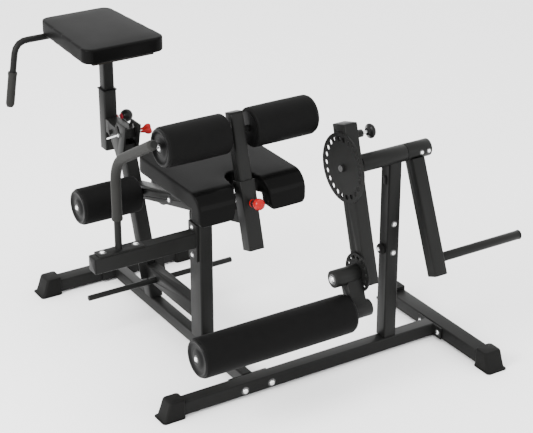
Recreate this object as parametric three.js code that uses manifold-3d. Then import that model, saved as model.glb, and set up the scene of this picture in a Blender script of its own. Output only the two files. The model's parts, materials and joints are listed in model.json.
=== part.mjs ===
// Roman chair with a hip pad, a notched seat, thigh rollers, foot rollers and a weighted leg lever.
// Units are millimetres. +X is the machine's right, +Y its rear, +Z up.
// The working origin is on the floor under the middle of the front post; the last lines move it
// under the middle of the whole machine.
import * as THREE from 'three';
import { mergeVertices } from 'three/addons/utils/BufferGeometryUtils.js';
import Module from 'manifold-3d';

const wasm = await Module();
wasm.setup();

// ---- Stock sizes and clearances
const TUBE = 50; // square frame tube, across its flats
const WALL = 3; // wall of every frame tube
const CORNER = 6; // outer corner radius of every frame tube
const GAP = 0.3; // between pieces that touch
const SLIDE_FIT = 1.5; // each side of a telescoping post
const RUN_FIT = 0.4; // radial, between an axle and what turns on it
const AXLE_R = 10;
const PLATE = 6; // thickness of flanges and foot plates
const BAR_R = 12; // round handle tube

// ---- Floor frame
const BAR_LOW = 5; // underside of the floor bars
const BAR_HIGH = 53; // top of the floor bars
const FRONT_BAR_Y = -324.5;
const FRONT_BAR_DEPTH = 50;
const FRONT_BAR_LEFT = -349;
const REAR_BAR_Y = 662;
const REAR_BAR_DEPTH = 60;
const REAR_BAR_HALF = 322;
const SIDE_BAR_X = 764;
const SIDE_BAR_WIDTH = 60;
const SIDE_BAR_FRONT = -661;
const SIDE_BAR_REAR = -5;
const RAIL_WIDTH = 40;
const FOOT_LENGTH = 84;
const FOOT_SIDE = 11; // how far the lip stands out beside the bar
const FOOT_HIGH = 66;
const FOOT_CORNER = 12;
const FOOT_LOW_INSET = { end: 8, side: 3 }; // from the lip to the foot of the leaning sides
const FOOT_TOP_INSET = { end: 30, side: 6 };
const BAR_INSIDE = 31; // how far a bar end stops short of its foot's outer edge
const FOOT_LIP = 4; // thickness of the flange on the floor

// ---- Posts and beams
const POST_DEPTH = 76;
const CROSS_LEFT = -400;
const CROSS_Z = 432.5;
const CROSS_HEIGHT = 55;
const CROSS_FLANGE_HIGH = 490;
const CROSS_FLANGE_LOW = 355;
const SPINE_LOW = 115;
const SPINE_HIGH = 175;
const PEG_Y = 294;
const PEG_Z = 145;
const PEG_HALF = 287;
const REAR_POST_Y = 439.5; // centre of the rear post at REAR_POST_Z
const REAR_POST_Z = 300;
const REAR_POST_LEAN = 18.3; // degrees
const REAR_POST_TOP = 585;
const BEAM_Y = 344; // centre of the seat beam at BEAM_Z
const BEAM_Z = 464;
const BEAM_PITCH = 14.6; // degrees, rising to the front

// ---- Seat
const SEAT_HALF = 198;
const SEAT_FRONT = -345;
const SEAT_REAR = 95;
const SEAT_LOW = 690;
const SEAT_HIGH = 752;
const SEAT_LIP = 640; // lowest point of the rolled front edge
const NOTCH_R = 45;
const NOTCH_Y = -258;
const SEAT_CORNER = 55; // rear corners, seen from above
const SEAT_FRONT_CORNER = 14;
const SEAT_ROLL = 62; // depth of the rolled front, front to back
const NOTCH_ROUND = 12;
const NOTCH_FRONT_HALF = 66; // half the notch's width at its open end
const BOARD_THICK = 10;
const BOARD_INSET = 22;
const SEAT_BRACKETS_Y = { front: -150, rear: 30 };
const SEAT_BRACKET_DEPTH = 60;
const SEAT_WING_HALF = 80;

// ---- Thigh post and rollers
const THIGH_Y = -340; // foot of the sleeve, on its centre line
const THIGH_Z = 529;
const THIGH_LEAN = 15.4;
const THIGH_SLEEVE_WIDTH = 54;
const THIGH_SLEEVE_LENGTH = 224;
const THIGH_POST_LOW = 50;
const THIGH_POST_HIGH = 436;
const THIGH_AXLE_AT = 381;
const THIGH_PIN_AT = 152;
const ROLLER_R = 64;
const ROLLER_INNER = 46;
const ROLLER_OUTER = 265;
const FOOT_AXLE_Y = 380;
const AXLE_END = 6; // how far an axle stands out of its rollers
const KNOB_R = 19;
const ADJUST_PITCH = 25; // between the locking holes of a telescoping post
const ADJUST_STEPS = [-3, -2, -1, 0, 1, 2]; // holes below and above the locked one
const PIN_TRAVEL = 8; // how far a locking pin enters its hole

// ---- Hip pad
const SLEEVE_Y = 667;
const SLEEVE_LOW = 517;
const SLEEVE_HIGH = 745;
const PAD_POST_LOW = 530;
const PAD_PIN_Z = 627;
const PAD_LOW = 908;
const PAD_HIGH = 966;
const BOARD_UNDER = 12; // pad board, including its clearance
const PAD_FRONT = 494;
const PAD_REAR = 922;
const PAD_FRONT_HALF = 160;
const PAD_REAR_HALF = 143;
const PAD_CORNER = 38;
const HINGE_Y = 590;
const HINGE_Z = 610;
const HINGE_R = 8;
const LOCK_R = 6;
const LOCK_ARM = 71; // hinge to lock screw
const LOCK_ANGLE = 170; // degrees from +Y, at rest
const TILT_RANGE = 22; // degrees

// ---- Leg lever
const SHAFT_Y = -322;
const SHAFT_Z = 720.5;
const SHAFT_R = 12.5;
const UPRIGHT_X = 543;
const UPRIGHT_Y = -320;
const HOUSING_R = 29.5;
const HOUSING_RIGHT = 588;
const DISC_R = 117;
const DISC_HOLES = 22;
const DISC_HOLE_R = 9;
const DISC_PITCH_R = 97;
const DISC_THICK = 5;
const ARM_LEFT = 352;
const HOUSING_CLEAR = 8; // between the arm and the shaft housing
const HOUSING_LEFT = ARM_LEFT + TUBE + HOUSING_CLEAR;
const ARM_DEPTH = 76;
const ARM_LEAN = 15.9;
const ARM_TOP = 139;
const ARM_LENGTH = 390; // shaft to the arm's lower end
const PIVOT_AT = 348; // shaft to the roller lever's pivot
const PIVOT_R = 10;
const HUB_LEFT = 250;
const SMALL_DISC_R = 66;
const SMALL_DISC_HOLES = 14;
const SMALL_HOLE_R = 6.5;
const SMALL_PITCH_R = 52;
const SMALL_DISC_THICK = 6;
const ROLLER_AXLE_Y = -465;
const ROLLER_AXLE_Z = 277;
const LONG_ROLLER_HALF = 277;
const LEVER_LEFT = 602;
const LEVER_LEAN = 22.5;
const LEVER_LENGTH = 422;
const HORN_AT = 370;
const HORN_R = 16;
const HORN_RIGHT = 985;

// ---- Left-hand grip handle
const HANDLE_X = -306;
const HANDLE_BEND_R = 120;
const HANDLE_RISE = 702; // where the bend starts
const HANDLE_SLOPE = 30; // degrees above level
const HANDLE_REACH = 272; // how far forward the end lies
const GRIP_R = 17;
const GRIP_FIT = 1; // radial, between a handle tube and its grip sleeve
const GRIP_FROM = 570;

const DEGREE = Math.PI / 180;

// ---- Finishes
const PAINT = { color: 0x3c3d3e, roughness: 0.5, metalness: 0.35 };
const VINYL = { color: 0x1a1a1b, roughness: 0.55, metalness: 0 };
const FOAM = { color: 0x262626, roughness: 0.85, metalness: 0 };
const RUBBER = { color: 0x141414, roughness: 0.7, metalness: 0 };
const GRIP = { color: 0x77797a, roughness: 0.6, metalness: 0 };
const ZINC = { color: 0xc8cacb, roughness: 0.3, metalness: 0.9 };
const RED = { color: 0xb01822, roughness: 0.3, metalness: 0 };
const BLACK_PLASTIC = { color: 0x101010, roughness: 0.3, metalness: 0 };
const WOOD = { color: 0x6b5a45, roughness: 0.8, metalness: 0 };

// ---- Shaping
function toSolid(geometry) {
  const bare = geometry.clone();
  bare.deleteAttribute('normal');
  bare.deleteAttribute('uv');
  const merged = mergeVertices(bare, 1e-4);
  const vertProperties = new Float32Array(merged.attributes.position.array);
  const triVerts = new Uint32Array(merged.index.array);
  return new wasm.Manifold(new wasm.Mesh({ numProp: 3, vertProperties, triVerts }));
}

function toGeometry(solid) {
  const mesh = solid.getMesh();
  const geometry = new THREE.BufferGeometry();
  geometry.setAttribute('position', new THREE.BufferAttribute(mesh.vertProperties, 3));
  geometry.setIndex(new THREE.BufferAttribute(mesh.triVerts, 1));
  geometry.computeVertexNormals();
  return geometry;
}

function join(first, ...others) {
  let solid = toSolid(first);
  for (const other of others) solid = solid.add(toSolid(other));
  return toGeometry(solid);
}

function cut(first, ...others) {
  let solid = toSolid(first);
  for (const other of others) solid = solid.subtract(toSolid(other));
  return toGeometry(solid);
}

function overlap(first, other) {
  return toGeometry(toSolid(first).intersect(toSolid(other)));
}

// Box between two corners.
function block(x0, x1, y0, y1, z0, z1) {
  const box = new THREE.BoxGeometry(x1 - x0, y1 - y0, z1 - z0);
  return box.translate((x0 + x1) / 2, (y0 + y1) / 2, (z0 + z1) / 2);
}

// Round bar along X, Y or Z, centred on the other two coordinates.
function rod(axis, radius, from, to, a = 0, b = 0, sides = 24) {
  const bar = new THREE.CylinderGeometry(radius, radius, to - from, sides);
  const middle = (from + to) / 2;
  if (axis === 'x') return bar.rotateZ(-Math.PI / 2).translate(middle, a, b);
  if (axis === 'y') return bar.translate(a, middle, b);
  return bar.rotateX(Math.PI / 2).translate(a, b, middle);
}

function roundedRectangle(width, depth, radius) {
  const outline = new THREE.Shape();
  const x = width / 2 - radius;
  const y = depth / 2 - radius;
  outline.absarc(x, y, radius, 0, Math.PI / 2);
  outline.absarc(-x, y, radius, Math.PI / 2, Math.PI);
  outline.absarc(-x, -y, radius, Math.PI, 1.5 * Math.PI);
  outline.absarc(x, -y, radius, 1.5 * Math.PI, 2 * Math.PI);
  return outline;
}

// Square tube along Z; a wall of 0 makes it solid.
function squareTube(width, depth, from, to, wall = WALL) {
  const outline = roundedRectangle(width, depth, CORNER);
  const inside = roundedRectangle(width - 2 * wall, depth - 2 * wall, Math.max(CORNER - wall, 1));
  if (wall > 0) outline.holes.push(inside);
  const options = { depth: to - from, bevelEnabled: false, curveSegments: 2 };
  return new THREE.ExtrudeGeometry(outline, options).translate(0, 0, from);
}

const alongX = (geometry) => geometry.rotateY(Math.PI / 2);
const alongY = (geometry) => geometry.rotateX(-Math.PI / 2);

// Prism along X from an outline of [y, z] points.
function prismX(points, from, to) {
  const outline = new THREE.Shape(points.map(([y, z]) => new THREE.Vector2(y, z)));
  const options = { depth: to - from, bevelEnabled: false };
  const prism = new THREE.ExtrudeGeometry(outline, options);
  const turn = new THREE.Matrix4().makeBasis(
    new THREE.Vector3(0, 1, 0),
    new THREE.Vector3(0, 0, 1),
    new THREE.Vector3(1, 0, 0),
  );
  return prism.applyMatrix4(turn).translate(from, 0, 0);
}

// Ring or sleeve along X.
function ringX(outer, inner, from, to, y = 0, z = 0, sides = 28) {
  return cut(
    rod('x', outer, from, to, y, z, sides),
    rod('x', inner, from - 1, to + 1, y, z, sides),
  );
}

// Turned shape along Z from a profile of [radius, height] points.
function turned(profile, sides = 24) {
  const points = profile.map(([radius, height]) => new THREE.Vector2(radius, height));
  return new THREE.LatheGeometry(points, sides).rotateX(Math.PI / 2);
}

// Ball knob with its threaded neck and plunger along +Z; the plunger's tip is at tip.
function pullKnob(tip, neckFrom, ballAt) {
  const ball = new THREE.SphereGeometry(KNOB_R, 14, 10).translate(0, 0, ballAt);
  const neck = turned([[0, neckFrom], [8, neckFrom], [9, ballAt], [0, ballAt]]);
  return join(ball, neck, rod('z', 5, tip, ballAt, 0, 0, 16));
}

const model = new THREE.Group();

function add(name, geometry, finish, parent = model) {
  const mesh = new THREE.Mesh(geometry, new THREE.MeshStandardMaterial(finish));
  mesh.name = name;
  parent.add(mesh);
  return mesh;
}

// Group at a point, leaning back by an angle, so that its own Z runs up the leaning piece.
function leaning(y, z, degrees) {
  const group = new THREE.Group();
  group.position.set(0, y, z);
  group.rotation.x = -degrees * DEGREE;
  model.add(group);
  return group;
}

// The same move for a geometry that is cut by upright neighbours.
function lean(geometry, y, z, degrees) {
  return geometry.rotateX(-degrees * DEGREE).translate(0, y, z);
}

// ---- Floor frame
// Slip-on foot: a flared cap with a lip, open where the bar end enters. Length runs along +X.
function footCap(barWidth) {
  const width = barWidth + 2 * FOOT_SIDE;
  const ring = ({ end, side }, z) => {
    const outline = roundedRectangle(FOOT_LENGTH - end, width - 2 * side, FOOT_CORNER - side);
    return outline.getPoints(3).map(({ x, y }) => [x + end / 2, y, z]);
  };
  const corners = [...ring(FOOT_LOW_INSET, 0), ...ring(FOOT_TOP_INSET, FOOT_HIGH)];
  const body = toGeometry(wasm.Manifold.hull(corners));
  const lip = new THREE.ExtrudeGeometry(
    roundedRectangle(FOOT_LENGTH, width, FOOT_CORNER),
    { depth: FOOT_LIP, bevelEnabled: false, curveSegments: 3 },
  );
  const half = barWidth / 2 + GAP;
  const pocketEnd = BAR_INSIDE - GAP - FOOT_LENGTH / 2;
  const pocket = block(pocketEnd, FOOT_LENGTH, -half, half, BAR_LOW - GAP, BAR_HIGH + GAP);
  return cut(join(lip, body), pocket).translate(FOOT_LENGTH / 2, 0, 0);
}

function addFoot(name, barWidth, x, y, turnZ) {
  const foot = add(name, footCap(barWidth), RUBBER);
  foot.position.set(x, y, 0);
  foot.rotation.z = turnZ;
}

function addFloorFrame() {
  const height = BAR_HIGH - BAR_LOW;
  const middle = (BAR_HIGH + BAR_LOW) / 2;
  const frontFace = FRONT_BAR_Y - FRONT_BAR_DEPTH / 2;
  const frontBack = FRONT_BAR_Y + FRONT_BAR_DEPTH / 2;
  const rearFace = REAR_BAR_Y - REAR_BAR_DEPTH / 2;
  const sideFace = SIDE_BAR_X - SIDE_BAR_WIDTH / 2;

  const frontFrom = FRONT_BAR_LEFT + BAR_INSIDE;
  const frontTube = alongX(squareTube(height, FRONT_BAR_DEPTH, frontFrom, sideFace - PLATE));
  const flange = block(
    sideFace - PLATE - 1, sideFace - GAP, frontFace - 42, frontBack + 42, BAR_LOW + 3, BAR_HIGH - 3,
  );
  add('front_floor_bar', join(frontTube.translate(0, FRONT_BAR_Y, middle), flange), PAINT);

  const rearHalf = REAR_BAR_HALF - BAR_INSIDE;
  const rearTube = alongX(squareTube(height, REAR_BAR_DEPTH, -rearHalf, rearHalf));
  add('rear_floor_bar', rearTube.translate(0, REAR_BAR_Y, middle), PAINT);

  const sideTube = alongY(squareTube(
    SIDE_BAR_WIDTH, height, SIDE_BAR_FRONT + BAR_INSIDE, SIDE_BAR_REAR - BAR_INSIDE,
  ));
  add('side_floor_bar', sideTube.translate(SIDE_BAR_X, 0, middle), PAINT);

  const railTube = alongY(squareTube(RAIL_WIDTH, height, frontBack + PLATE, rearFace - PLATE));
  const railPlates = [
    block(-72, 72, frontBack + GAP, frontBack + PLATE + 1, BAR_LOW + 3, BAR_HIGH - 3),
    block(-72, 72, rearFace - PLATE - 1, rearFace - GAP, BAR_LOW + 3, BAR_HIGH - 3),
  ];
  const drain = rod('y', 8, frontBack, rearFace, 0, middle, 16); // keeps the welded tube open at both ends
  add('centre_rail', cut(join(railTube.translate(0, 0, middle), ...railPlates), drain), PAINT);

  addFoot('front_foot', FRONT_BAR_DEPTH, FRONT_BAR_LEFT, FRONT_BAR_Y, 0);
  addFoot('rear_foot_left', REAR_BAR_DEPTH, -REAR_BAR_HALF, REAR_BAR_Y, 0);
  addFoot('rear_foot_right', REAR_BAR_DEPTH, REAR_BAR_HALF, REAR_BAR_Y, Math.PI);
  addFoot('side_foot_front', SIDE_BAR_WIDTH, SIDE_BAR_X, SIDE_BAR_FRONT, Math.PI / 2);
  addFoot('side_foot_rear', SIDE_BAR_WIDTH, SIDE_BAR_X, SIDE_BAR_REAR, -Math.PI / 2);
}

// ---- Posts and beams
const beamCut = (extra) => lean(
  block(-90, 90, -600, 600, -TUBE / 2 - extra, 400), BEAM_Y, BEAM_Z, BEAM_PITCH,
);
const rearPostCut = (extra) => lean(
  block(-90, 90, -TUBE / 2 - extra, 600, -600, 600), REAR_POST_Y, REAR_POST_Z, REAR_POST_LEAN,
);

function addFrontPost() {
  const tube = squareTube(TUBE, POST_DEPTH, BAR_HIGH + GAP, BEAM_Z + 200);
  add('front_post', cut(tube, beamCut(GAP)), PAINT);
}

function addRearPost() {
  const tube = lean(squareTube(TUBE, TUBE, -400, 400), REAR_POST_Y, REAR_POST_Z, REAR_POST_LEAN);
  add('rear_post', overlap(tube, block(-99, 99, 0, 900, BAR_HIGH + GAP, REAR_POST_TOP)), PAINT);
}

function addSeatBeam() {
  const tube = lean(alongY(squareTube(TUBE, TUBE, -900, 400)), BEAM_Y, BEAM_Z, BEAM_PITCH);
  const axle = rod('x', AXLE_R + GAP, -60, 60, FOOT_AXLE_Y, footAxleZ());
  const thighCut = lean(block(-90, 90, -900, TUBE / 2 + GAP, -400, 600), THIGH_Y, THIGH_Z, THIGH_LEAN);
  add('seat_beam', cut(tube, rearPostCut(GAP), thighCut, axle), PAINT);
}

// Height of the seat beam's centre line at a given y.
function beamZ(y) {
  return BEAM_Z - (y - BEAM_Y) * Math.tan(BEAM_PITCH * DEGREE);
}

function footAxleZ() {
  return beamZ(FOOT_AXLE_Y);
}

function addSpine() {
  const height = SPINE_HIGH - SPINE_LOW;
  const middle = (SPINE_HIGH + SPINE_LOW) / 2;
  const tube = alongY(squareTube(TUBE - 4, height, POST_DEPTH / 2 + GAP, 500)).translate(0, 0, middle);
  const peg = rod('x', AXLE_R + GAP, -60, 60, PEG_Y, PEG_Z);
  const trimmed = cut(tube, rearPostCut(PLATE + GAP), peg);
  const plate = lean(
    block(-50, 50, -TUBE / 2 - PLATE - 1, -TUBE / 2 - GAP, -190, -120),
    REAR_POST_Y, REAR_POST_Z, REAR_POST_LEAN,
  );
  add('spine_rail', join(trimmed, cut(plate, block(-17, 17, 200, 500, 100, 190))), PAINT);
  add('peg_rod', rod('x', AXLE_R, -PEG_HALF, PEG_HALF, PEG_Y, PEG_Z, 24), PAINT);
}

function addCrossbeam() {
  const right = -TUBE / 2 - GAP;
  const tube = alongX(squareTube(CROSS_HEIGHT, TUBE, CROSS_LEFT, right - PLATE)).translate(0, 0, CROSS_Z);
  const flange = block(right - PLATE - 1, right, -28, 28, CROSS_FLANGE_LOW, CROSS_FLANGE_HIGH);
  add('crossbeam', join(tube, flange), PAINT);
}

// Centre line of the grip handle: up, a bend forward, then a straight slope.
function handlePath(fromZ) {
  const turn = (90 - HANDLE_SLOPE) * DEGREE;
  const path = new THREE.CurvePath();
  const bendStart = new THREE.Vector3(HANDLE_X, 0, HANDLE_RISE);
  const corner = new THREE.Vector3(HANDLE_X, 0, HANDLE_RISE + HANDLE_BEND_R * Math.tan(turn / 2));
  const bendEnd = new THREE.Vector3(
    HANDLE_X,
    -HANDLE_BEND_R * (1 - Math.cos(turn)),
    HANDLE_RISE + HANDLE_BEND_R * Math.sin(turn),
  );
  const rise = (HANDLE_REACH + bendEnd.y) * Math.tan(HANDLE_SLOPE * DEGREE);
  const end = new THREE.Vector3(HANDLE_X, -HANDLE_REACH, bendEnd.z + rise);
  path.add(new THREE.LineCurve3(new THREE.Vector3(HANDLE_X, 0, fromZ), bendStart));
  path.add(new THREE.QuadraticBezierCurve3(bendStart, corner, bendEnd));
  path.add(new THREE.LineCurve3(bendEnd, end));
  return path;
}

function disc(radius) {
  return new THREE.Shape().absarc(0, 0, radius, 0, 2 * Math.PI);
}

function addGripHandle() {
  const beamTop = CROSS_Z + CROSS_HEIGHT / 2;
  const options = { steps: 26, curveSegments: 6, extrudePath: handlePath(beamTop + PLATE / 2) };
  const tube = new THREE.ExtrudeGeometry(disc(BAR_R), options);
  const plate = block(HANDLE_X - 78, HANDLE_X + 84, -24, 24, beamTop + GAP, beamTop + PLATE);
  add('grip_handle', join(tube, plate), PAINT);
  const section = disc(GRIP_R);
  section.holes.push(disc(BAR_R + GRIP_FIT));
  const gripOptions = { steps: 24, curveSegments: 6, extrudePath: handlePath(GRIP_FROM) };
  add('grip_handle_sleeve', new THREE.ExtrudeGeometry(section, gripOptions), GRIP);
}

// ---- Seat
function seatOutline(inset) {
  const outline = new THREE.Shape();
  const half = SEAT_HALF - inset;
  const front = SEAT_FRONT + inset;
  const rear = SEAT_REAR - inset;
  const notch = NOTCH_R + inset;
  const mouth = NOTCH_FRONT_HALF + inset;
  const round = NOTCH_ROUND;
  outline.moveTo(half, front + SEAT_FRONT_CORNER);
  outline.absarc(half - SEAT_CORNER, rear - SEAT_CORNER, SEAT_CORNER, 0, Math.PI / 2);
  outline.absarc(SEAT_CORNER - half, rear - SEAT_CORNER, SEAT_CORNER, Math.PI / 2, Math.PI);
  const corner = SEAT_FRONT_CORNER;
  outline.absarc(corner - half, front + corner, corner, Math.PI, 1.5 * Math.PI);
  outline.absarc(-mouth - round, front + round, round, 1.5 * Math.PI, 2 * Math.PI);
  outline.absarc(0, NOTCH_Y, notch, Math.PI, 0, true);
  outline.absarc(mouth + round, front + round, round, Math.PI, 1.5 * Math.PI);
  outline.absarc(half - corner, front + corner, corner, 1.5 * Math.PI, 2 * Math.PI);
  return outline;
}

function addSeat() {
  const options = { depth: SEAT_HIGH - SEAT_LIP, bevelEnabled: false, curveSegments: 6 };
  const plan = new THREE.ExtrudeGeometry(seatOutline(0), options).translate(0, 0, SEAT_LIP);
  const rollBack = SEAT_FRONT + SEAT_ROLL;
  const side = prismX([
    [SEAT_REAR, SEAT_LOW], [SEAT_REAR, SEAT_HIGH - 12], [SEAT_REAR - 15, SEAT_HIGH],
    [rollBack + 10, SEAT_HIGH], [SEAT_FRONT + 40, SEAT_HIGH - 9], [SEAT_FRONT + 16, SEAT_HIGH - 28],
    [SEAT_FRONT + 3, SEAT_HIGH - 52], [SEAT_FRONT, SEAT_HIGH - 68], [SEAT_FRONT + 4, SEAT_LIP + 12],
    [SEAT_FRONT + 14, SEAT_LIP], [rollBack - 16, SEAT_LIP], [rollBack - 6, SEAT_LIP + 10],
    [rollBack, SEAT_LOW],
  ], -SEAT_HALF - 1, SEAT_HALF + 1);
  add('seat_cushion', overlap(plan, side), VINYL);

  const boardTop = SEAT_LOW - GAP;
  const boardLow = boardTop - BOARD_THICK;
  const boardOptions = { depth: BOARD_THICK, bevelEnabled: false, curveSegments: 4 };
  const board = new THREE.ExtrudeGeometry(seatOutline(BOARD_INSET), boardOptions);
  const roll = block(-300, 300, -500, rollBack + 4, 0, 999);
  add('seat_board', cut(board.translate(0, 0, boardLow), roll), WOOD);

  for (const [end, y] of Object.entries(SEAT_BRACKETS_Y)) {
    const from = y - SEAT_BRACKET_DEPTH / 2;
    const to = y + SEAT_BRACKET_DEPTH / 2;
    const top = boardLow - GAP;
    const legs = block(-TUBE / 2, TUBE / 2, from, to, 400, top);
    const wing = block(-SEAT_WING_HALF, SEAT_WING_HALF, from, to, top - PLATE, top);
    const beam = lean(block(-90, 90, -900, 900, -400, TUBE / 2 + GAP), BEAM_Y, BEAM_Z, BEAM_PITCH);
    const hollow = block(PLATE - TUBE / 2, TUBE / 2 - PLATE, from - 99, to + 99, 400, boardLow - PLATE);
    add(`seat_bracket_${end}`, cut(join(legs, wing), beam, hollow), PAINT);
  }
}

// ---- Thigh post and rollers
function addThighPost() {
  const group = leaning(THIGH_Y, THIGH_Z, THIGH_LEAN);
  const front = -TUBE / 2;
  const pinHole = rod('y', 5.5, front - 40, 0, 0, THIGH_PIN_AT, 16);
  const sleeve = squareTube(THIGH_SLEEVE_WIDTH, TUBE, 0, THIGH_SLEEVE_LENGTH);
  const boss = rod('y', 12, front - 16, front + 1, 0, THIGH_PIN_AT, 24);
  add('thigh_sleeve', cut(join(sleeve, boss), pinHole), PAINT, group);

  const width = THIGH_SLEEVE_WIDTH - 2 * WALL - 2 * SLIDE_FIT;
  const depth = TUBE - 2 * WALL - 2 * SLIDE_FIT;
  const post = squareTube(width, depth, THIGH_POST_LOW, THIGH_POST_HIGH);
  const axleHole = rod('x', AXLE_R + GAP, -60, 60, 0, THIGH_AXLE_AT);
  const holes = ADJUST_STEPS.map((i) => rod('y', 5.8, -60, 0, 0, THIGH_PIN_AT + i * ADJUST_PITCH, 8));
  add('thigh_post', cut(post, axleHole, ...holes), PAINT, group);
  const cap = squareTube(width, depth, THIGH_POST_HIGH + GAP, THIGH_POST_HIGH + 5, 0);
  add('thigh_post_cap', cap, BLACK_PLASTIC, group);

  const tip = depth / 2 + 0.8;
  const knob = add('thigh_pin', pullKnob(tip, -front + 17 + PIN_TRAVEL, -front + 50), RED, group);
  knob.position.set(0, 0, THIGH_PIN_AT);
  knob.rotation.x = Math.PI / 2;
  const axleEnd = ROLLER_OUTER + AXLE_END;
  add('thigh_axle', rod('x', AXLE_R, -axleEnd, axleEnd, 0, THIGH_AXLE_AT, 24), ZINC, group);
  addRollerPair('thigh_roller', 0, THIGH_AXLE_AT, group);
}

function addRollerPair(name, y, z, parent) {
  const inner = AXLE_R + RUN_FIT;
  add(`${name}_left`, ringX(ROLLER_R, inner, -ROLLER_OUTER, -ROLLER_INNER, y, z), FOAM, parent);
  add(`${name}_right`, ringX(ROLLER_R, inner, ROLLER_INNER, ROLLER_OUTER, y, z), FOAM, parent);
}

function addFootRollers() {
  const z = footAxleZ();
  const end = ROLLER_OUTER + AXLE_END;
  add('foot_axle', rod('x', AXLE_R, -end, end, FOOT_AXLE_Y, z, 24), ZINC);
  addRollerPair('foot_roller', FOOT_AXLE_Y, z, model);
}

// ---- Hip pad and its tilting post
function addTiltPlates() {
  const outline = [
    [626, 629], [587, 577], [566, 550], [549, 525], [500, 545],
    [470, 667], [536, 667], [556, 640], [606, 645],
  ];
  const slot = [];
  for (let i = 0; i <= 8; i++) {
    const angle = (LOCK_ANGLE - (i / 8) * TILT_RANGE) * DEGREE;
    const y = HINGE_Y + LOCK_ARM * Math.cos(angle);
    const z = HINGE_Z + LOCK_ARM * Math.sin(angle);
    slot.push(rod('x', LOCK_R + 0.6, -60, 60, y, z, 16));
  }
  const pin = rod('x', HINGE_R + RUN_FIT, -60, 60, HINGE_Y, HINGE_Z, 24);
  for (const [side, from] of [['left', -TUBE / 2 - PLATE], ['right', TUBE / 2 + GAP]]) {
    const plate = prismX(outline, from, from + PLATE - GAP);
    add(`tilt_plate_${side}`, cut(plate, pin, ...slot), PAINT);
  }
}

function lockPoint() {
  const angle = LOCK_ANGLE * DEGREE;
  return [HINGE_Y + LOCK_ARM * Math.cos(angle), HINGE_Z + LOCK_ARM * Math.sin(angle)];
}

function addHipPad() {
  const right = TUBE / 2;
  const sleeve = squareTube(TUBE, TUBE, SLEEVE_LOW, SLEEVE_HIGH).translate(0, SLEEVE_Y, 0);
  const pinHole = rod('x', 5.5, 0, 60, SLEEVE_Y, PAD_PIN_Z, 16);
  const boss = rod('x', 11, right - 1, right + 12, SLEEVE_Y, PAD_PIN_Z, 24);
  add('pad_sleeve', cut(join(sleeve, boss), pinHole), PAINT);

  const [lockY, lockZ] = lockPoint();
  const sleeveFace = SLEEVE_Y - right - GAP;
  const lug = prismX([
    [sleeveFace, 592], [sleeveFace, 642], [lockY - 12, lockZ + 20], [lockY - 16, lockZ - 12],
    [lockY + 20, lockZ - 24], [HINGE_Y, 592],
  ], -right + 0.6, right - 0.6);
  const hinge = rod('x', HINGE_R + GAP, -60, 60, HINGE_Y, HINGE_Z, 24);
  const lock = rod('x', LOCK_R + GAP, -60, 60, lockY, lockZ, 16);
  add('tilt_lug', cut(lug, hinge, lock), PAINT);
  add('tilt_bolt', rod('x', HINGE_R, -right - 14, right + 14, HINGE_Y, HINGE_Z, 24), ZINC);

  const screw = rod('x', LOCK_R, -right - 12, 80, lockY, lockZ, 16);
  const lobes = [0, 1, 2].map((i) => {
    const angle = (90 + 120 * i) * DEGREE;
    return rod('x', 11, 74, 92, lockY + 19 * Math.cos(angle), lockZ + 19 * Math.sin(angle), 16);
  });
  add('tilt_knob', join(screw, rod('x', 19, 70, 92, lockY, lockZ, 24), ...lobes), RED);

  const post = TUBE - 2 * WALL - 2 * SLIDE_FIT;
  const postTop = PAD_LOW - BOARD_UNDER - PLATE - GAP;
  const holes = ADJUST_STEPS.map(
    (i) => rod('x', 5.8, 0, 60, SLEEVE_Y, PAD_PIN_Z + i * ADJUST_PITCH, 8),
  );
  const tube = squareTube(post, post, PAD_POST_LOW, postTop).translate(0, SLEEVE_Y, 0);
  const bracket = block(-60, 60, SLEEVE_Y - 70, SLEEVE_Y + 70, postTop - 1, postTop + PLATE - GAP);
  add('pad_post', join(cut(tube, ...holes), bracket), PAINT);
  const knob = add('pad_pin', pullKnob(post / 2 + 0.8, right + 13 + PIN_TRAVEL, right + 48), BLACK_PLASTIC);
  knob.position.set(0, SLEEVE_Y, PAD_PIN_Z);
  knob.rotation.y = Math.PI / 2;

  const boardLow = postTop + PLATE;
  const boardHalf = PAD_REAR_HALF - 25;
  const board = block(-boardHalf, boardHalf, PAD_FRONT + 30, PAD_REAR - 30, boardLow, PAD_LOW - GAP);
  add('pad_board', board, WOOD);
  const outline = new THREE.Shape();
  const front = PAD_FRONT + PAD_CORNER;
  const rear = PAD_REAR - PAD_CORNER;
  outline.absarc(PAD_REAR_HALF - PAD_CORNER, rear, PAD_CORNER, 0, Math.PI / 2);
  outline.absarc(PAD_CORNER - PAD_REAR_HALF, rear, PAD_CORNER, Math.PI / 2, Math.PI);
  outline.absarc(PAD_CORNER - PAD_FRONT_HALF, front, PAD_CORNER, Math.PI, 1.5 * Math.PI);
  outline.absarc(PAD_FRONT_HALF - PAD_CORNER, front, PAD_CORNER, 1.5 * Math.PI, 2 * Math.PI);
  const options = { depth: PAD_HIGH - PAD_LOW, bevelEnabled: false, curveSegments: 5 };
  add('hip_pad', new THREE.ExtrudeGeometry(outline, options).translate(0, 0, PAD_LOW), VINYL);
}

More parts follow.
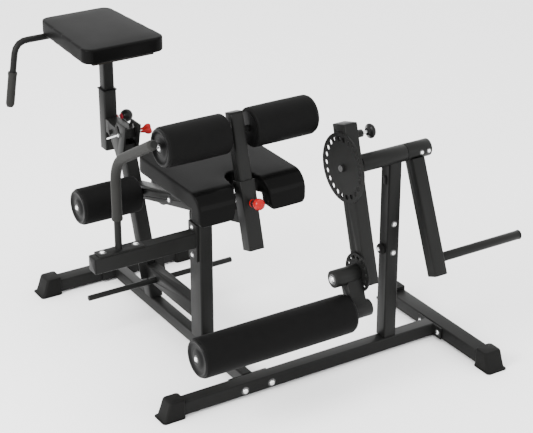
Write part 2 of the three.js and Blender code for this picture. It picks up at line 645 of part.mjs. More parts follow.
// Handle under the pad's rear edge that drops down on the left.
function addPadHandle() {
  const y = PAD_REAR - 16;
  const high = PAD_LOW - BAR_R - 2;
  const bend = 45;
  const outX = -238;
  const path = new THREE.CurvePath();
  const run = new THREE.Vector3(90, y, high);
  const bendStart = new THREE.Vector3(outX + bend, y, high);
  const corner = new THREE.Vector3(outX, y, high);
  const bendEnd = new THREE.Vector3(outX - 8, y, high - bend);
  const end = new THREE.Vector3(outX - 40, y, 654);
  path.add(new THREE.LineCurve3(run, bendStart));
  path.add(new THREE.QuadraticBezierCurve3(bendStart, corner, bendEnd));
  path.add(new THREE.LineCurve3(bendEnd, end));
  const tube = new THREE.ExtrudeGeometry(disc(BAR_R), { steps: 28, curveSegments: 6, extrudePath: path });
  const tab = block(30, 80, PAD_REAR - 70, y, high - 5, PAD_LOW - BOARD_UNDER - 2 * GAP);
  add('pad_handle', join(tube, tab), PAINT);
  const section = disc(GRIP_R - 1);
  section.holes.push(disc(BAR_R + GRIP_FIT));
  const gripTop = bendEnd.clone().lerp(end, 0.35);
  const grip = new THREE.LineCurve3(gripTop, end);
  const options = { steps: 1, curveSegments: 6, extrudePath: grip };
  add('pad_handle_sleeve', new THREE.ExtrudeGeometry(section, options), GRIP);
}

// ---- Leg lever
function addUpright() {
  const top = SHAFT_Z - 12;
  const tube = squareTube(TUBE, TUBE, BAR_HIGH + GAP, top).translate(UPRIGHT_X, UPRIGHT_Y, 0);
  const saddle = rod('x', HOUSING_R + GAP, UPRIGHT_X - 60, UPRIGHT_X + 60, SHAFT_Y, SHAFT_Z);
  add('upright', cut(tube, saddle), PAINT);
  const left = UPRIGHT_X - TUBE / 2;
  add('stop_bumper', rod('x', 19, left - 14, left - GAP, UPRIGHT_Y + 4, 386, 24), RUBBER);
  const bore = HOUSING_R - 4;
  add('shaft_housing', ringX(HOUSING_R, bore, HOUSING_LEFT, HOUSING_RIGHT, SHAFT_Y, SHAFT_Z), PAINT);
  const shaftHole = SHAFT_R + RUN_FIT;
  const bushes = [
    ['left', HOUSING_LEFT + 1, HOUSING_LEFT + 20],
    ['right', HOUSING_RIGHT - 20, HOUSING_RIGHT - 1],
  ];
  for (const [side, from, to] of bushes) {
    add(`shaft_bush_${side}`, ringX(bore - GAP, shaftHole, from, to, SHAFT_Y, SHAFT_Z), ZINC);
  }
}

function holedDisc(radius, thick, from, holes, holeRadius, pitchRadius, bore) {
  const cuts = [rod('x', bore, from - 1, from + thick + 1)];
  for (let i = 0; i < holes; i++) {
    const angle = (i / holes) * 2 * Math.PI + Math.PI / 2;
    const y = pitchRadius * Math.cos(angle);
    const z = pitchRadius * Math.sin(angle);
    cuts.push(rod('x', holeRadius, from - 1, from + thick + 1, y, z, 10));
  }
  return cut(rod('x', radius, from, from + thick, 0, 0, 40), ...cuts);
}

function addShaftBody() {
  const discLeft = ARM_LEFT - GAP - DISC_THICK;
  const hubRight = HOUSING_RIGHT + 96;
  add('main_shaft', rod('x', SHAFT_R, discLeft - 8, hubRight - 4, SHAFT_Y, SHAFT_Z), ZINC);
  const arm = leaning(SHAFT_Y, SHAFT_Z, ARM_LEAN);
  const bore = SHAFT_R + GAP;
  const disc = holedDisc(DISC_R, DISC_THICK, discLeft, DISC_HOLES, DISC_HOLE_R, DISC_PITCH_R, bore);
  add('index_disc', disc, PAINT, arm);

  const lever = leaning(SHAFT_Y, SHAFT_Z, LEVER_LEAN);
  const hub = ringX(HOUSING_R, bore, HOUSING_RIGHT + 1, hubRight);
  const bar = squareTube(TUBE, TUBE, -LEVER_LENGTH, -HOUSING_R + 3).translate(LEVER_LEFT + TUBE / 2, 0, 0);
  const joined = join(hub, cut(bar, rod('x', HOUSING_R - 2, LEVER_LEFT - 1, LEVER_LEFT + TUBE + 1)));
  add('weight_lever', joined, PAINT, lever);
  const hornLeft = LEVER_LEFT + TUBE + GAP;
  add('weight_horn', rod('x', HORN_R, hornLeft, HORN_RIGHT, 0, -HORN_AT), ZINC, lever);
}

function addSwingArm() {
  const group = leaning(SHAFT_Y, SHAFT_Z, ARM_LEAN);
  const right = ARM_LEFT + TUBE;
  const tube = squareTube(TUBE, ARM_DEPTH, -ARM_LENGTH, ARM_TOP).translate(ARM_LEFT + TUBE / 2, 0, 0);
  const bearing = rod('x', SHAFT_R + 6, ARM_LEFT, right + 6);
  const pivotTube = rod('x', PIVOT_R + 5, ARM_LEFT, right, 0, -PIVOT_AT);
  const boss = rod('x', 13, right - 1, right + 34, 0, DISC_PITCH_R, 24);
  const shaftHole = rod('x', SHAFT_R + RUN_FIT, ARM_LEFT - 1, right + 9);
  const pivotHole = rod('x', PIVOT_R + GAP, ARM_LEFT - 1, right + 9, 0, -PIVOT_AT);
  const pinHole = rod('x', 6, ARM_LEFT - 1, right + 40, 0, DISC_PITCH_R, 16);
  add('swing_arm', cut(join(tube, bearing, pivotTube, boss), shaftHole, pivotHole, pinHole), PAINT, group);

  const rodPiece = rod('x', 5.4, ARM_LEFT + 1, right + 60, 0, 0, 16);
  const knob = turned([[0, 0], [12, 0], [25, 8], [25, 16], [18, 25], [0, 28]]).rotateY(Math.PI / 2);
  const pin = add('arm_pin', join(rodPiece, knob.translate(right + 55, 0, 0)), BLACK_PLASTIC, group);
  pin.position.set(0, 0, DISC_PITCH_R);
  add('pivot_bolt', rod('x', PIVOT_R, HUB_LEFT + 4, right + 8, 0, -PIVOT_AT, 24), ZINC, group);
}

function addRollerLever() {
  const armLean = ARM_LEAN * DEGREE;
  const pivotY = SHAFT_Y - PIVOT_AT * Math.sin(armLean);
  const pivotZ = SHAFT_Z - PIVOT_AT * Math.cos(armLean);
  const dy = ROLLER_AXLE_Y - pivotY;
  const dz = ROLLER_AXLE_Z - pivotZ;
  const group = leaning(pivotY, pivotZ, Math.atan2(-dy, -dz) / DEGREE);
  const reach = Math.hypot(dy, dz);
  const hubRight = ARM_LEFT - GAP - SMALL_DISC_THICK - GAP;
  const bore = PIVOT_R + RUN_FIT;
  add('roller_hub', ringX(HOUSING_R, bore, HUB_LEFT, hubRight), PAINT, group);
  const smallDisc = holedDisc(
    SMALL_DISC_R, SMALL_DISC_THICK, hubRight + GAP, SMALL_DISC_HOLES, SMALL_HOLE_R, SMALL_PITCH_R, bore,
  );
  add('small_index_disc', smallDisc, PAINT, group);
  const bar = block(HUB_LEFT + 40, hubRight, -22, 22, -reach, -10);
  const sleeve = rod('x', HOUSING_R - 1, HUB_LEFT + 35, ARM_LEFT + 10, 0, -reach);
  const hubCut = rod('x', HOUSING_R + GAP, HUB_LEFT - 9, hubRight + 9);
  const axleHole = rod('x', AXLE_R + GAP, HUB_LEFT - 9, ARM_LEFT + 30, 0, -reach);
  add('roller_lever', cut(join(cut(bar, hubCut), sleeve), axleHole), PAINT, group);
  add('roller_axle', rod('x', AXLE_R, -LONG_ROLLER_HALF - 6, ARM_LEFT + 16, 0, -reach, 24), ZINC, group);
  const roller = ringX(ROLLER_R + 1.5, AXLE_R + RUN_FIT, -LONG_ROLLER_HALF, LONG_ROLLER_HALF, 0, -reach);
  add('long_roller', roller, FOAM, group);
}

addFloorFrame();
addFrontPost();
addRearPost();
addSeatBeam();
addSpine();
addCrossbeam();
addGripHandle();
addSeat();
addThighPost();
addFootRollers();
addTiltPlates();
addHipPad();
addPadHandle();
addUpright();
addShaftBody();
addSwingArm();
addRollerLever();

// The machine's own origin: on the floor, under the middle of its bounding box.
model.position.set(-(CROSS_LEFT + HORN_RIGHT) / 2, -(SIDE_BAR_FRONT + PAD_REAR) / 2, 0);
const machine = new THREE.Group();
machine.add(model);

export default machine;
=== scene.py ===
import json
import math

import bmesh
import bpy
import numpy as np
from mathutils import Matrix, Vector


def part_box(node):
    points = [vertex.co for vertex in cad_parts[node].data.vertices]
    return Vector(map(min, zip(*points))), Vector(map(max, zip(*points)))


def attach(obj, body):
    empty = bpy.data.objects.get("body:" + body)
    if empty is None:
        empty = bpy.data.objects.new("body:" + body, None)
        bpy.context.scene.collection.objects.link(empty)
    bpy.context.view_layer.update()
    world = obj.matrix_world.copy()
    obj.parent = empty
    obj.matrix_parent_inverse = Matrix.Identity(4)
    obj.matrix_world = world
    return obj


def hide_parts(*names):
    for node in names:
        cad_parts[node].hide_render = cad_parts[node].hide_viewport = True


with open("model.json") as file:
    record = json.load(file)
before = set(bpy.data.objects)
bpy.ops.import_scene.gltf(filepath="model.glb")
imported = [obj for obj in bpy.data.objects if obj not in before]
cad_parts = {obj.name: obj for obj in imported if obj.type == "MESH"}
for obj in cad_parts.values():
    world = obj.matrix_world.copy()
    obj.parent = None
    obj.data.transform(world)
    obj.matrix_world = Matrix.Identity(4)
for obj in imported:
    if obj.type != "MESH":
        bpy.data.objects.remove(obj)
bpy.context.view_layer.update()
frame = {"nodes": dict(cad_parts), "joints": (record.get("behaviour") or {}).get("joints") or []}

# ---------------------------------------------------------------- camera, light and floor
# A pale studio floor under a white sky, with a broad lamp high on the machine's left, a weaker
# one in front and a long lens that looks down from the front left corner.
CAMERA_AIM = Vector((0.0134, -0.0531, 0.3989))
CAMERA_AZIMUTH = math.radians(-31.8)
CAMERA_ELEVATION = math.radians(25.2)
CAMERA_DISTANCE = 5.557
CAMERA_LENS = 107.9
CAMERA_REACH = 200
SKY_STRENGTH = 2.6
FLOOR_HALF = 40.0
FLOOR_DROP = 0.0005
FLOOR_TONE = 0.97


def look_direction(azimuth, elevation):
    """Unit vector of the line of sight: azimuth 0 looks along +Y, elevation is above the horizon."""
    level = math.cos(elevation)
    return Vector((-math.sin(azimuth) * level, math.cos(azimuth) * level, -math.sin(elevation)))


def lamp(name, place, aim, size, power):
    """Round area lamp at a place, turned to face its aim."""
    data = bpy.data.lights.new(name, "AREA")
    data.shape = "DISK"
    data.size = size
    data.energy = power
    lamp_object = bpy.data.objects.new(name, data)
    lamp_object.location = place
    lamp_object.rotation_euler = (Vector(aim) - Vector(place)).to_track_quat("-Z", "Y").to_euler()
    bpy.context.scene.collection.objects.link(lamp_object)


sight = look_direction(CAMERA_AZIMUTH, CAMERA_ELEVATION)
camera_data = bpy.data.cameras.new("camera")
camera_data.lens = CAMERA_LENS
camera_data.clip_end = CAMERA_REACH
camera = bpy.data.objects.new("camera", camera_data)
camera.location = CAMERA_AIM - sight * CAMERA_DISTANCE
camera.rotation_euler = sight.to_track_quat("-Z", "Y").to_euler()
bpy.context.scene.collection.objects.link(camera)
bpy.context.scene.camera = camera

lamp("key", (-4.2, -0.6, 3.0), (0.0, 0.0, 0.5), 2.4, 330)
lamp("overhead", (0.3, 0.6, 4.2), (0.0, 0.0, 0.4), 3.0, 50)
lamp("front", (1.8, -5.0, 1.6), (0.0, 0.0, 0.4), 2.5, 60)

world = bpy.data.worlds.new("studio")
world.use_nodes = True
sky = world.node_tree.nodes["Background"]
sky.inputs["Color"].default_value = (1.0, 1.0, 1.0, 1.0)
sky.inputs["Strength"].default_value = SKY_STRENGTH
bpy.context.scene.world = world

floor_mesh = bpy.data.meshes.new("studio_floor")
floor_corners = [(-1, -1), (1, -1), (1, 1), (-1, 1)]
floor_points = [(x * FLOOR_HALF, y * FLOOR_HALF, -FLOOR_DROP) for x, y in floor_corners]
floor_mesh.from_pydata(floor_points, [], [(0, 1, 2, 3)])
floor = bpy.data.objects.new("studio_floor", floor_mesh)
bpy.context.scene.collection.objects.link(floor)
floor_paint = bpy.data.materials.new("studio_floor")
floor_paint.use_nodes = True
floor_shader = floor_paint.node_tree.nodes["Principled BSDF"]
floor_shader.inputs["Base Color"].default_value = (FLOOR_TONE, FLOOR_TONE, FLOOR_TONE, 1)
floor_shader.inputs["Roughness"].default_value = 0.9
floor_shader.inputs["Specular IOR Level"].default_value = 0.1
floor_mesh.materials.append(floor_paint)


# ---------------------------------------------------------------- steel frame: powder coat
# Bars, posts, plates and levers are welded square tube under a satin black powder coat, which
# has a fine orange-peel skin, faint mottling and a slightly lighter, smoother tone here and there.
PAINT_DARK = (0.0050, 0.0051, 0.0049)
PAINT_LIGHT = (0.0080, 0.0081, 0.0077)
EDGE_RADIUS = 0.0014
SMALL_EDGE = 0.0012
ZINC_EDGE = 0.0008
BOARD_EDGE = 0.001
BEVEL_ANGLE = math.radians(42)
WELD_DISTANCE = 1e-5
COAT_ROUGHNESS = 0.14
BUMP_STRENGTH = 0.25
MIX_DARK, MIX_LIGHT, MIX_RESULT = 6, 7, 2


def surface(name, dark, light, roughness, patch, metal=0.0, grain=900.0, depth=0.02, spread=0.08,
            gloss=0.08, coat=0.0):
    """Principled material: two tones mixed by soft patches of noise, roughness that wanders by
    spread round its mean, and a bump of fine grain whose depth is in millimetres, all on
    Object coordinates."""
    material = bpy.data.materials.new(name)
    material.use_nodes = True
    tree = material.node_tree
    shader = tree.nodes["Principled BSDF"]
    shader.inputs["Metallic"].default_value = metal
    shader.inputs["Specular IOR Level"].default_value = gloss
    shader.inputs["Coat Weight"].default_value = coat
    shader.inputs["Coat Roughness"].default_value = COAT_ROUGHNESS
    place = tree.nodes.new("ShaderNodeTexCoord")
    patches = tree.nodes.new("ShaderNodeTexNoise")
    patches.inputs["Scale"].default_value = patch
    patches.inputs["Detail"].default_value = 5
    tree.links.new(place.outputs["Object"], patches.inputs["Vector"])
    tones = tree.nodes.new("ShaderNodeMix")
    tones.data_type = "RGBA"
    tones.inputs[MIX_DARK].default_value = (*dark, 1)
    tones.inputs[MIX_LIGHT].default_value = (*light, 1)
    tree.links.new(patches.outputs["Fac"], tones.inputs["Factor"])
    tree.links.new(tones.outputs[MIX_RESULT], shader.inputs["Base Color"])
    rough = tree.nodes.new("ShaderNodeMapRange")
    rough.inputs["To Min"].default_value = roughness - spread
    rough.inputs["To Max"].default_value = roughness + spread
    tree.links.new(patches.outputs["Fac"], rough.inputs["Value"])
    tree.links.new(rough.outputs["Result"], shader.inputs["Roughness"])
    fine = tree.nodes.new("ShaderNodeTexNoise")
    fine.inputs["Scale"].default_value = grain
    fine.inputs["Detail"].default_value = 3
    tree.links.new(place.outputs["Object"], fine.inputs["Vector"])
    bump = tree.nodes.new("ShaderNodeBump")
    bump.inputs["Strength"].default_value = BUMP_STRENGTH
    bump.inputs["Distance"].default_value = depth / 1000
    tree.links.new(fine.outputs["Fac"], bump.inputs["Height"])
    tree.links.new(bump.outputs["Normal"], shader.inputs["Normal"])
    return material


def dress(node, material, edge=EDGE_RADIUS):
    """Gives a CAD node its material, welds its loose triangles and softens its edges. With no
    edge radius the node stays sharp and is shaded flat."""
    piece = frame["nodes"][node]
    piece.data.materials.clear()
    piece.data.materials.append(material)
    weld = piece.modifiers.new("weld", "WELD")
    weld.merge_threshold = WELD_DISTANCE
    if edge > 0:
        bevel = piece.modifiers.new("edges", "BEVEL")
        bevel.width = edge
        bevel.segments = 2
        bevel.limit_method = "ANGLE"
        bevel.angle_limit = BEVEL_ANGLE
        bevel.harden_normals = True
        bevel.use_clamp_overlap = True
        piece.data.shade_smooth()
    else:
        piece.data.shade_flat()


powder_coat = surface("powder_coat", PAINT_DARK, PAINT_LIGHT, 0.42, 6.0, grain=700.0, depth=0.03)
painted_nodes = [
    "front_floor_bar", "rear_floor_bar", "side_floor_bar", "centre_rail", "front_post", "rear_post",
    "seat_beam", "spine_rail", "peg_rod", "crossbeam", "grip_handle", "seat_bracket_front",
    "seat_bracket_rear", "thigh_sleeve", "thigh_post", "tilt_plate_left", "tilt_plate_right",
    "pad_sleeve", "tilt_lug", "pad_post", "pad_handle", "upright", "shaft_housing", "index_disc",
    "weight_lever", "swing_arm", "roller_hub", "small_index_disc", "roller_lever",
]
for node in painted_nodes:
    dress(node, powder_coat, 0 if node.endswith("index_disc") else EDGE_RADIUS)


# ---------------------------------------------------------------- bushes, shaft and axles
# The bushes and the pivot bolt are turned steel with a zinc finish: pale, slightly streaked and a
# little cloudy. The shaft, the axles, the tilt bolt and the weight horn are painted black.
zinc = surface("zinc_plate", (0.50, 0.51, 0.52), (0.62, 0.62, 0.61), 0.34, 30.0, metal=0.9,
               grain=1500.0, gloss=0.5)
for node in ["pivot_bolt", "shaft_bush_left", "shaft_bush_right"]:
    dress(node, zinc, ZINC_EDGE)
for node in ["main_shaft", "tilt_bolt", "thigh_axle", "foot_axle", "roller_axle", "weight_horn"]:
    dress(node, powder_coat, SMALL_EDGE)

# ---------------------------------------------------------------- boards under the pads
# Plywood boards carry both pads; they are stained dark and show only from below.
plywood = surface("stained_plywood", (0.008, 0.007, 0.006), (0.016, 0.013, 0.010), 0.75, 25.0,
                  grain=300.0, depth=0.1)
for node in ["seat_board", "pad_board"]:
    dress(node, plywood, BOARD_EDGE)


# ---------------------------------------------------------------- rubber feet
# Slip-on end caps in black rubber: a wide lip on the floor, sides that lean in to a softly
# rounded top, and a shallow moulded line above the lip.
FOOT_CORNER = 0.012
OUTLINE_STEPS = 64
DOUBLE_DISTANCE = 2e-6
rubber = surface("foot_rubber", (0.0036, 0.0036, 0.0034), (0.0060, 0.0060, 0.0057), 0.55,
                 14.0, grain=500.0, depth=0.05, gloss=0.06)


def grid_mesh(name, points, body, material, node=None, smooth=math.radians(45)):
    """Piece from an array of points (rings, steps, 3): quads between neighbouring rings, each
    of them closed on itself. A ring may shrink to a point, and double points are merged."""
    rings, steps, _ = points.shape
    mesh = bpy.data.meshes.new(name)
    ring, step = np.meshgrid(np.arange(rings - 1), np.arange(steps), indexing="ij")
    a = ring * steps + step
    b = ring * steps + (step + 1) % steps
    faces = np.stack([a, b, b + steps, a + steps], -1).reshape(-1, 4)
    mesh.from_pydata(points.reshape(-1, 3).tolist(), [], faces.tolist())
    shape = bmesh.new()
    shape.from_mesh(mesh)
    bmesh.ops.remove_doubles(shape, verts=shape.verts, dist=DOUBLE_DISTANCE)
    bmesh.ops.recalc_face_normals(shape, faces=shape.faces)
    shape.to_mesh(mesh)
    shape.free()
    mesh.materials.append(material)
    mesh.shade_smooth()
    mesh.set_sharp_from_angle(angle=smooth)
    piece = bpy.data.objects.new(name, mesh)
    bpy.context.scene.collection.objects.link(piece)
    if node:
        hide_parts(*([node] if isinstance(node, str) else node))
    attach(piece, body)
    return piece


def rounded_rectangle(half_x, half_y, radius, steps=OUTLINE_STEPS):
    """Points round a rectangle with corner arcs: each corner is a quarter circle of the radius,
    a quarter of the steps long, and the straights lie between corners."""
    turn = np.linspace(0, 2 * np.pi, steps, endpoint=False) + np.pi / steps
    corner_x = np.sign(np.cos(turn)) * (half_x - radius)
    corner_y = np.sign(np.sin(turn)) * (half_y - radius)
    return np.stack([corner_x + radius * np.cos(turn), corner_y + radius * np.sin(turn)], -1)


def foot_points(low, high, outward):
    """Stack of rounded rectangles: (height share, side inset, end inset) gives the lip, the sides
    that lean in, the outer end that leans further, and the rounded top, whose last ring is a
    point. A ring moves inwards by half its end inset, so its inner end stays where it is."""
    profile = np.array([
        (0.0, 0.001, 0.001), (0.015, 0.0, 0.0), (0.055, 0.0, 0.0), (0.065, 0.0028, 0.007),
        (0.10, 0.0034, 0.009), (0.5, 0.0047, 0.019), (0.90, 0.0060, 0.0275),
        (0.955, 0.0068, 0.0295), (0.985, 0.0086, 0.032), (1.0, 0.0115, 0.036),
    ])
    outward = np.array(outward, float)
    middle = (np.array(low) + np.array(high)) / 2
    half = (np.array(high) - np.array(low)) / 2
    rings = []
    for share, side, end in profile:
        inset = np.where(np.abs(outward) > 0.5, end / 2, side)
        outline = rounded_rectangle(half[0] - inset[0], half[1] - inset[1], FOOT_CORNER - 0.3 * side)
        height = np.full(OUTLINE_STEPS, low[2] + share * (high[2] - low[2]))
        rings.append(np.column_stack([outline + middle[:2] - outward * end / 2, height]))
    caps = [np.tile(rings[k].mean(axis=0), (OUTLINE_STEPS, 1)) for k in (0, -1)]
    return np.array([caps[0], *rings, caps[1]])


FEET = {
    "front_foot": (-1, 0), "rear_foot_left": (-1, 0), "rear_foot_right": (1, 0),
    "side_foot_front": (0, -1), "side_foot_rear": (0, 1),
}
for node, outward in FEET.items():
    low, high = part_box(node)
    grid_mesh(node + "_cap", foot_points(low, high, outward), "frame", rubber, node)


# ---------------------------------------------------------------- foam rollers
# Closed-cell foam sleeves with a smooth matte skin and a soft shoulder, held on their axles by
# moulded black end caps: a raised rim, a dished web with a hub, and a bright bolt and washer.
foam = surface("roller_foam", (0.0024, 0.0024, 0.0024), (0.0040, 0.0040, 0.0039), 0.62, 40.0,
               grain=420.0, depth=0.25, spread=0.06, gloss=0.035)
cap_plastic = surface("cap_plastic", (0.0020, 0.0020, 0.0020), (0.0036, 0.0036, 0.0036), 0.45, 20.0,
                      grain=300.0, depth=0.02, gloss=0.05, coat=0.05)
bolt_steel = surface("bolt_steel", (0.66, 0.67, 0.68), (0.80, 0.80, 0.79), 0.26, 80.0, metal=0.85,
                     grain=1500.0, spread=0.05)
FOAM_SHOULDER = 0.007
FOAM_FULLNESS = 0.0006
CAP_THICK = 0.006
CAP_BOLT = 0.0085


def turned(profile, centre, axis, steps=64):
    """Surface of revolution: each (radius, distance) of the profile becomes a circle of that
    radius round the axis, at that distance from the centre along it."""
    axis = np.array(axis, float) / np.linalg.norm(axis)
    side = np.cross(axis, (0.0, 0.0, 1.0) if abs(axis[2]) < 0.9 else (1.0, 0.0, 0.0))
    side /= np.linalg.norm(side)
    other = np.cross(axis, side)
    turn = np.linspace(0, 2 * np.pi, steps, endpoint=False)
    circle = np.cos(turn)[:, None] * side + np.sin(turn)[:, None] * other
    profile = np.array(profile, float)
    return np.array(centre) + profile[:, 0, None, None] * circle + profile[:, 1, None, None] * axis


def foam_profile(radius, half, bore):
    """Ring section of a foam sleeve: a flat-ended cylinder with a quarter-round shoulder, very
    slightly fuller at the middle, closed through its bore."""
    shoulder = FOAM_SHOULDER
    arc = np.linspace(0, np.pi / 2, 6)
    left = np.column_stack([radius - shoulder + shoulder * np.sin(arc),
                            -half + shoulder - shoulder * np.cos(arc)])
    along = np.linspace(-half + shoulder, half - shoulder, 9)[1:-1]
    body = np.column_stack([radius + FOAM_FULLNESS * np.cos(along / half * np.pi / 2), along])
    right = left[::-1] * [1, -1]
    return np.vstack([[(bore, -half)], left, body, right, [(bore, half)], [(bore, -half)]])


def end_cap(name, centre, outward, body, radius):
    """Moulded cap on a roller's end: rim, dish and hub as one turned profile, plus its bolt."""
    rim = radius * 0.93
    profile = [(0.0, -0.001), (rim, -0.001), (rim, 0.0035), (rim - 0.002, 0.0055), (rim - 0.006, CAP_THICK),
               (rim - 0.009, 0.0045), (rim - 0.012, 0.0015), (rim * 0.55, 0.0008), (rim * 0.5, 0.002),
               (rim * 0.42, 0.0052), (rim * 0.3, CAP_THICK), (0.0, CAP_THICK)]
    grid_mesh(name, turned(profile, centre, outward), body, cap_plastic)
    head = np.array(centre) + np.array(outward, float) * CAP_THICK
    bolt(name + "_bolt", head, outward, body, CAP_BOLT)


def bolt(name, seat, outward, body, radius=0.008):
    """Round-headed bolt on a flat washer: the washer is a thin turned ring, the head a low dome
    with a rounded foot, both about the outward direction."""
    washer = [(0.0, -0.0005), (radius * 1.5, -0.0005), (radius * 1.5, 0.0009), (radius * 1.42, 0.0014),
              (0.0, 0.0014)]
    grid_mesh(name + "_washer", turned(washer, seat, outward, 32), body, dark_steel)
    arc = np.linspace(0, np.pi / 2, 7)
    dome = [(radius * math.cos(t), 0.0022 + radius * 0.55 * math.sin(t)) for t in arc]
    head = [(0.0, 0.001), (radius * 0.96, 0.001)] + dome[:-1] + [(0.0, dome[-1][1])]
    grid_mesh(name, turned(head, seat, outward, 32), body, bolt_steel)


dark_steel = surface("blackened_steel", (0.05, 0.05, 0.05), (0.09, 0.09, 0.09), 0.4, 60.0, metal=0.6)
ROLLERS = {
    "thigh_roller_left": (-1,), "thigh_roller_right": (1,),
    "foot_roller_left": (-1,), "foot_roller_right": (1,), "long_roller": (-1, 1),
}
FOAM_BORE = 0.0105
for node, cap_sides in ROLLERS.items():
    low, high = (np.array(corner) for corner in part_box(node))
    centre = (low + high) / 2
    radius = (high[2] - low[2]) / 2
    half = (high[0] - low[0]) / 2
    profile = foam_profile(radius, half, FOAM_BORE)
    sleeve = turned(profile, centre, (1, 0, 0), 96)
    piece = grid_mesh(node + "_foam", sleeve, node, foam, node)
    for side in (-1, 1):
        face = centre + np.array([side * half, 0, 0])
        if side in cap_sides:
            end_cap(f"{node}_cap_{'right' if side > 0 else 'left'}", face, (side, 0, 0), node, radius)
        else:
            flange = [(0.0, -0.001), (radius * 0.8, -0.001), (radius * 0.8, 0.003),
                      (radius * 0.76, 0.004), (0.0, 0.004)]
            grid_mesh(f"{node}_inner_cap", turned(flange, face, (side, 0, 0)), node, cap_plastic)


# ---------------------------------------------------------------- seat cushion and hip pad
# Foam on a board under stretched black vinyl: crisp pressed edges, a barely crowned top and a
# fine leather grain. The seat has a notch round the thigh post and a rolled front edge.
vinyl = surface("black_vinyl", (0.0014, 0.0014, 0.0014), (0.0024, 0.0024, 0.0023), 0.42, 9.0,
                grain=620.0, depth=0.12, spread=0.05, gloss=0.02, coat=0.035)
VOXEL = 0.004
CLOTH_PRESSURE = 4.0
CLOTH_STIFFNESS = 25
CLOTH_STEPS = 14
SWELL_LIMIT = 0.0025
COVER_GAP = 0.001
CROWN = 0.003


def arc_points(cx, cy, radius, start, end, steps):
    turn = np.radians(np.linspace(start, end, steps))
    return np.column_stack([cx + radius * np.cos(turn), cy + radius * np.sin(turn)])


def pad_mesh(name, outline, low, high):
    """Closed prism of an outline between two heights, as a starting block for the swelling."""
    count = len(outline)
    points = [(x, y, z) for z in (low, high) for x, y in outline]
    sides = [(i, (i + 1) % count, (i + 1) % count + count, i + count) for i in range(count)]
    mesh = bpy.data.meshes.new(name)
    mesh.from_pydata(points, [], [tuple(range(count))[::-1], tuple(range(count, 2 * count))] + sides)
    piece = bpy.data.objects.new(name, mesh)
    bpy.context.scene.collection.objects.link(piece)
    return piece


def apply_modifiers(piece):
    """Bakes a piece's modifiers into its mesh."""
    graph = bpy.context.evaluated_depsgraph_get()
    baked = bpy.data.meshes.new_from_object(piece.evaluated_get(graph), depsgraph=graph)
    piece.modifiers.clear()
    piece.data = baked


def read_points(mesh):
    points = np.empty(len(mesh.vertices) * 3)
    mesh.vertices.foreach_get("co", points)
    return points.reshape(-1, 3)


def evened(mesh, moved, rounds=80):
    """Evens out how far points moved: each round, a point's movement becomes the mean of its
    neighbours' movements along the mesh's edges, so the swelling stays and creases go."""
    ends = np.empty(len(mesh.edges) * 2, dtype=np.int64)
    mesh.edges.foreach_get("vertices", ends)
    one, other = ends[0::2], ends[1::2]
    count = len(moved)
    share = np.maximum(np.bincount(one, minlength=count) + np.bincount(other, minlength=count), 1)
    for _ in range(rounds):
        moved = np.column_stack([
            (np.bincount(one, moved[other, k], count) + np.bincount(other, moved[one, k], count)) / share
            for k in range(3)
        ])
    return moved


def stuffed(name, outline, low, high, shape, limit, node, body):
    """Padded piece: the prism is remeshed, bent by shape(points), swollen by cloth pressure with
    every point held within limit of its start, and smoothed by one subdivision."""
    piece = pad_mesh(name, outline, low, high)
    remesh = piece.modifiers.new("remesh", "REMESH")
    remesh.mode = "VOXEL"
    remesh.voxel_size = VOXEL
    rounded = piece.modifiers.new("rounded", "SMOOTH")
    rounded.factor = 0.5
    rounded.iterations = 5
    apply_modifiers(piece)
    start = shape(read_points(piece.data))
    piece.data.vertices.foreach_set("co", start.ravel())
    cloth = piece.modifiers.new("cloth", "CLOTH")
    cloth.settings.use_pressure = True
    cloth.settings.uniform_pressure_force = CLOTH_PRESSURE
    cloth.settings.tension_stiffness = CLOTH_STIFFNESS
    cloth.settings.compression_stiffness = CLOTH_STIFFNESS
    cloth.settings.effector_weights.gravity = 0
    cloth.settings.quality = 4
    cloth.point_cache.frame_start = 1
    cloth.point_cache.frame_end = CLOTH_STEPS
    for step in range(1, CLOTH_STEPS + 1):
        bpy.context.scene.frame_set(step)
    apply_modifiers(piece)
    bpy.context.scene.frame_set(1)
    moved = read_points(piece.data) - start
    length = np.linalg.norm(moved, axis=1, keepdims=True)
    moved = evened(piece.data, moved * np.minimum(1.0, limit / np.maximum(length, 1e-9)))
    piece.data.vertices.foreach_set("co", (start + moved).ravel())
    finer = piece.modifiers.new("finer", "SUBSURF")
    finer.levels = 1
    finer.render_levels = 1
    apply_modifiers(piece)
    piece.data.materials.clear()
    piece.data.materials.append(vinyl)
    piece.data.shade_smooth()
    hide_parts(node)
    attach(piece, body)


low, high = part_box("hip_pad")
PAD_INSET = 0.004
PAD_CORNER = 0.036
PAD_TAPER = 0.017
front_half = (high[0] - low[0]) / 2 - PAD_INSET
pad_x = (high[0] + low[0]) / 2
rear_half = front_half - PAD_TAPER
front_y = low[1] + PAD_INSET
rear_y = high[1] - PAD_INSET
r = PAD_CORNER
pad_outline = np.vstack([
    arc_points(pad_x + rear_half - r, rear_y - r, r, 0, 90, 8),
    arc_points(pad_x - rear_half + r, rear_y - r, r, 90, 180, 8),
    arc_points(pad_x - front_half + r, front_y + r, r, 180, 270, 8),
    arc_points(pad_x + front_half - r, front_y + r, r, 270, 360, 8),
])
pad_middle = (front_y + rear_y) / 2


def crowned(points):
    """Raises the top by a low dome that fades to nothing at the edges."""
    across = np.clip(1 - ((points[:, 0] - pad_x) / front_half) ** 2, 0, 1)
    along = np.clip(1 - ((points[:, 1] - pad_middle) / (rear_y - pad_middle)) ** 2, 0, 1)
    upper = np.clip((points[:, 2] - low[2]) / (high[2] - low[2]), 0, 1)
    points[:, 2] += CROWN * across * along * upper
    return points


stuffed("hip_pad_cover", pad_outline, low[2] + COVER_GAP, high[2] - PAD_INSET, crowned, SWELL_LIMIT,
        "hip_pad", "pad_post")

